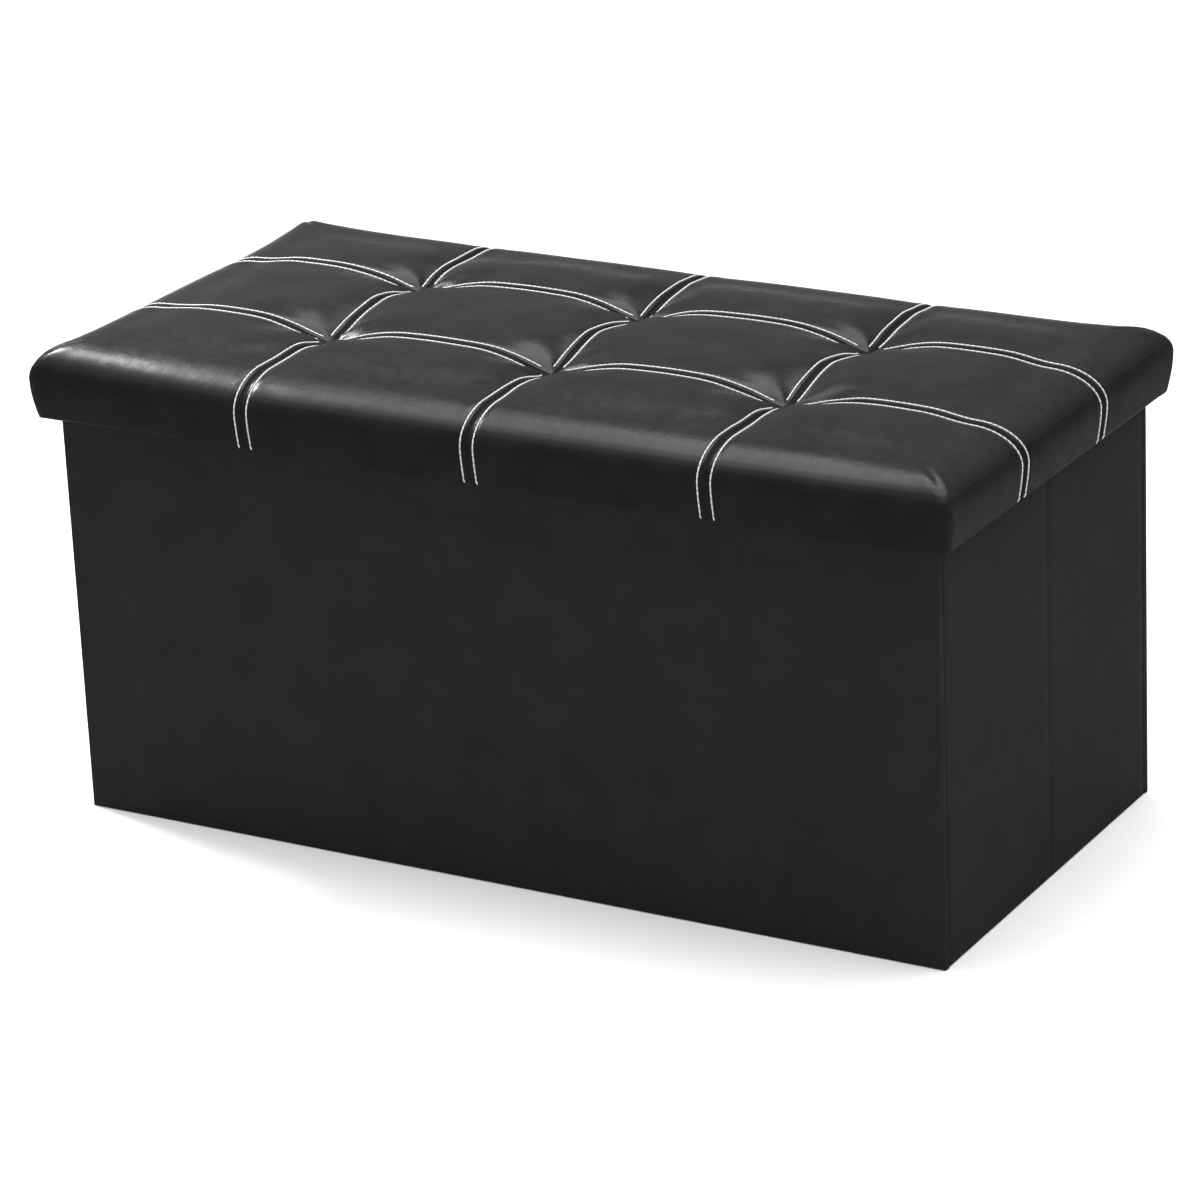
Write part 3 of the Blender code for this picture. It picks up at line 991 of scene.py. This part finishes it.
def make_hinge_cloths():
    """Leather and lining that join the panels at the corners and at the creases of the ends.

    The left back corner is the open one: its strips stay on the back wall and don't bend.
    """
    low, high = 2.2 * MM, WALL_TOP - 2.2 * MM
    inner_low, inner_high = LEAF_TOP + 2 * MM, WALL_TOP - 4 * MM
    out_x = WALL_X - 0.9 * MM
    crease_x = WALL_X - 0.45 * MM
    in_x = WALL_INNER_X - 0.30 * MM
    for end, side in (("right", 1), ("left", -1)):
        for wall, half, face in (("front", "front", -1), ("back", "rear", 1)):
            is_open = end == "left" and wall == "back"
            pair = (f"{wall}_wall", f"{end}_{half}_half")
            seam_y = face * WALL_INNER_Y
            x = side * out_x
            outside = steps_between((x, seam_y - 2.4 * MM), (x, seam_y + 2.4 * MM), 8)
            bodies = pair if face < 0 else (pair[1], pair[0])
            # The dark seam leather in the corner's gap is painted shade
            add_strip(f"{end}_{wall}_corner_seam", outside, low, high, SEAM_SHADE_LEATHER, 0.4 * MM,
                      pair[:1] if is_open else bodies)
            x = side * in_x
            corner = (x, seam_y - face * 0.30 * MM)
            inside = steps_between((side * (in_x - 9 * MM), corner[1]), corner, 6)
            if not is_open:
                inside += steps_between(corner, (x, seam_y - face * 15 * MM), 12)[1:]
            add_strip(f"{end}_{wall}_corner_lining", inside, inner_low, inner_high, FELT, 0.3 * MM,
                      pair[:1] if is_open else pair)
        halves = (f"{end}_front_half", f"{end}_rear_half")
        outside = steps_between((side * crease_x, -2.6 * MM), (side * crease_x, 2.6 * MM), 8)
        add_strip(f"{end}_crease_leather", outside, low, high, WALL_LEATHER, 0.4 * MM, halves)
        inside = steps_between((side * in_x, -9 * MM), (side * in_x, 9 * MM), 12)
        add_strip(f"{end}_crease_lining", inside, inner_low, inner_high, FELT, 0.3 * MM, halves)


# ---------------------------------------------------------------- base


# How much a leaf narrows at each end for its depth: a little more than 45 degrees, to clear
# the ends' creases as it stands up
LEAF_SLANT = 1.02
LEAF_RADIUS = 1.2 * MM


def make_base_leaf(row, side):
    """A board wrapped in spun cloth, its ends cut at about 45 degrees."""
    low, high = box_of(f"base_{row}_cover")
    hinge_y = max(abs(low[1]), abs(high[1]))
    far_y = min(abs(low[1]), abs(high[1]))
    long_half = high[0]
    half_v = (hinge_y - far_y) / 2
    middle_y = (hinge_y + far_y) / 2

    def place(u, v, drop):
        from_hinge = half_v - side * v
        width = long_half - LEAF_SLANT * from_hinge
        x = u * width / long_half
        sink = 0.0
        if drop == 0.0:
            edge = np.minimum(long_half - np.abs(u), half_v - np.abs(v))
            sink = 0.20 * MM * (1 + wavy(u, v, 80 * MM, 5.0 + side)) * smooth(edge / (20 * MM))
        return np.column_stack([x, side * middle_y + v, LEAF_TOP - drop - sink + 0 * u])

    radius = LEAF_RADIUS
    us = spread(long_half - radius, 12 * MM)
    vs = spread(half_v - radius, 12 * MM)
    path = [(radius * math.sin(t), radius * (1 - math.cos(t))) for t in (0.5, 1.0, math.pi / 2)]
    deep = LEAF_TOP - LEAF_LOW
    path += [(radius, deep - radius), (radius - 0.4 * MM, deep - 0.3 * MM), (radius - 1.0 * MM, deep),
             (radius - 15 * MM, deep)]
    leaf = add_tray(f"base_{row}_leaf_cloth", us, vs, path, 20 * MM, place, FELT)
    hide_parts(f"base_{row}_cover", f"base_{row}_board")
    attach(leaf, f"base_{row}_leaf")


def make_pull_ribbon():
    """A folded loop of ribbon sewn to the front leaf, lying towards the middle of the base."""
    low, high = box_of("pull_ribbon")
    half_x = (high[0] - low[0]) / 2
    back, front = high[1], low[1]
    thick = 0.5 * MM
    sewn = front + 16 * MM
    under = [(front, 0.35), (sewn, 0.35), (back - 12 * MM, 0.9), (back - 3 * MM, 1.5)]
    bend = [(back - 0.4 * MM, 2.2), (back - 0.2 * MM, 3.0), (back - 2 * MM, 3.7)]
    over = [(back - 12 * MM, 3.3), (sewn + 8 * MM, 2.2), (sewn + 1 * MM, 1.15), (front + 1 * MM, 0.95)]
    line = np.array([(y, LEAF_TOP + z * MM) for y, z in under + bend + over])
    run = np.concatenate([[0], np.cumsum(np.linalg.norm(np.diff(line, axis=0), axis=1))])
    samples = np.linspace(0, run[-1], 46)
    ys = np.interp(samples, run, line[:, 0])
    zs = np.interp(samples, run, line[:, 1])
    xs = np.linspace(-half_x, half_x, 9)
    points = [(x, y, z) for y, z in zip(ys, zs) for x in xs]
    faces = grid_faces(len(samples), len(xs), True)
    ribbon = mesh_object("pull_ribbon_loop", points, faces, RIBBON)
    thicken(ribbon, thick, 0.0)
    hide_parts("pull_ribbon")
    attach(ribbon, "base_front_leaf")
    rows = []
    top = LEAF_TOP + 1.35 * MM
    side_x, near, far = half_x - 3 * MM, front + 3 * MM, sewn - 3 * MM
    corners = [(-side_x, near), (side_x, near), (side_x, far), (-side_x, far)]
    runs = list(zip(corners, corners[1:] + corners[:1]))
    runs += [(corners[0], corners[2]), (corners[1], corners[3])]
    for a, b in runs:
        places = np.array([(*a, top), (*b, top)])
        rows.append((places, np.array([UP, UP])))
    stitches = add_stitches("pull_ribbon_stitches", rows)
    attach(stitches, "base_front_leaf")


def make_floor_cloth():
    """Cloth under the leaves, sewn to the walls' lower edges; it is attached to the front wall."""
    low, high = box_of("floor_cloth")
    us = np.linspace(low[0], high[0], 73)
    vs = np.linspace(low[1], high[1], 35)
    grid_u, grid_v = np.meshgrid(us, vs, indexing="ij")
    u, v = grid_u.ravel(), grid_v.ravel()
    edge = smooth(np.minimum(high[0] - np.abs(u), high[1] - np.abs(v)) / (25 * MM))
    z = low[2] + 0.45 * MM + 0.30 * MM * edge * wavy(u, v, 70 * MM, 8.0)
    points = np.column_stack([u, v, z])
    cloth = mesh_object("floor_cloth_sheet", points, grid_faces(len(us), len(vs)), FELT)
    thicken(cloth, 0.4 * MM, 0.0)
    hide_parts("floor_cloth")
    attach(cloth, "front_wall")
    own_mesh(cloth)


# ---------------------------------------------------------------- materials of the nodes that stay


def dress_nodes():
    looks = {"board": BOARD, "white_thread": THREAD}
    slots = {entry["node"]: entry["material_slot"] for entry in frame["record"]["subparts"]}
    for name, node in frame["nodes"].items():
        look = FELT if name.startswith("lid_rim") else looks.get(slots[name])
        if look:
            node.data.materials.clear()
            node.data.materials.append(look)


# ---------------------------------------------------------------- stage


FLOOR_HALF = 12.0
FLOOR_DROP = 0.2 * MM
WORLD_STRENGTH = 0.22
LID_EDGE = (-0.40, -0.17, 0.37)

# Area lights: name, place, what it points at, size and power in watts
LIGHTS = (("overhead", (0.5, 0.3, 4.2), (0.5, -0.2, 0.0), (6.0, 4.2), 395.0),
          ("front_fill", (1.8, -2.8, 1.4), (0.0, 0.0, 0.12), (3.0, 1.6), 30.0),
          ("edge_softbox", (-1.60, 0.17, 1.9), LID_EDGE, (0.5, 0.3), 11.0),
          ("corner_lamp", (-0.80, -0.03, 0.87), LID_EDGE, (0.14, 0.10), 8.0))


def add_area_light(name, place, target, size, power):
    light = bpy.data.lights.new(name, "AREA")
    light.shape = "RECTANGLE"
    light.size, light.size_y = size
    light.energy = power
    lamp = bpy.data.objects.new(name, light)
    lamp.location = place
    aim = Vector(target) - Vector(place)
    lamp.rotation_euler = aim.to_track_quat("-Z", "Y").to_euler()
    bpy.context.scene.collection.objects.link(lamp)


def make_stage():
    half = FLOOR_HALF
    corners = [(-half, -half, 0), (half, -half, 0), (half, half, 0), (-half, half, 0)]
    floor = mesh_object("studio_floor", corners, [(0, 1, 2, 3)], floor_material(), False)
    floor.location.z = -FLOOR_DROP
    world = bpy.data.worlds.new("studio")
    world.use_nodes = True
    background = world.node_tree.nodes["Background"]
    background.inputs["Color"].default_value = (1.0, 1.0, 1.0, 1.0)
    background.inputs["Strength"].default_value = WORLD_STRENGTH
    bpy.context.scene.world = world
    bpy.context.scene.view_settings.view_transform = "Standard"
    for light in LIGHTS:
        add_area_light(*light)


CAMERA_TARGET = Vector((-0.002, -0.009, 0.167))
CAMERA_AZIMUTH = math.radians(30.30)
CAMERA_ELEVATION = math.radians(21.08)
CAMERA_ROLL = math.radians(-2.57)
CAMERA_DISTANCE = 3.982
CAMERA_LENS = 157.1


def make_camera():
    level = math.cos(CAMERA_ELEVATION)
    back = Vector((math.sin(CAMERA_AZIMUTH) * level, -math.cos(CAMERA_AZIMUTH) * level,
                   math.sin(CAMERA_ELEVATION)))
    right = (-back).cross(Vector((0, 0, 1))).normalized()
    up = right.cross(-back)
    rolled_right = math.cos(CAMERA_ROLL) * right + math.sin(CAMERA_ROLL) * up
    rolled_up = math.cos(CAMERA_ROLL) * up - math.sin(CAMERA_ROLL) * right
    data = bpy.data.cameras.new("camera")
    data.lens = CAMERA_LENS
    data.sensor_width = 36.0
    camera = bpy.data.objects.new("camera", data)
    turn = Matrix((rolled_right, rolled_up, back)).transposed().to_4x4()
    camera.matrix_world = Matrix.Translation(CAMERA_TARGET + back * CAMERA_DISTANCE) @ turn
    bpy.context.scene.collection.objects.link(camera)
    bpy.context.scene.camera = camera


# ---------------------------------------------------------------- everything


def main():
    make_camera()
    settled = settle_top()
    cover, tray = make_lid_cover(settled)
    rows = lid_stitch_rows(cover, tray)
    thicken(cover, COVER_THICK)
    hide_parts("lid_cover")
    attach(cover, "lid")
    stitches = add_stitches("lid_topstitching", rows, clear_of_tufts)
    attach(stitches, "lid")
    make_lid_foam(settled)
    make_lid_lining()
    make_walls()
    make_hinge_cloths()
    make_base_leaf("front", -1)
    make_base_leaf("rear", 1)
    make_pull_ribbon()
    make_floor_cloth()
    dress_nodes()
    make_stage()


main()
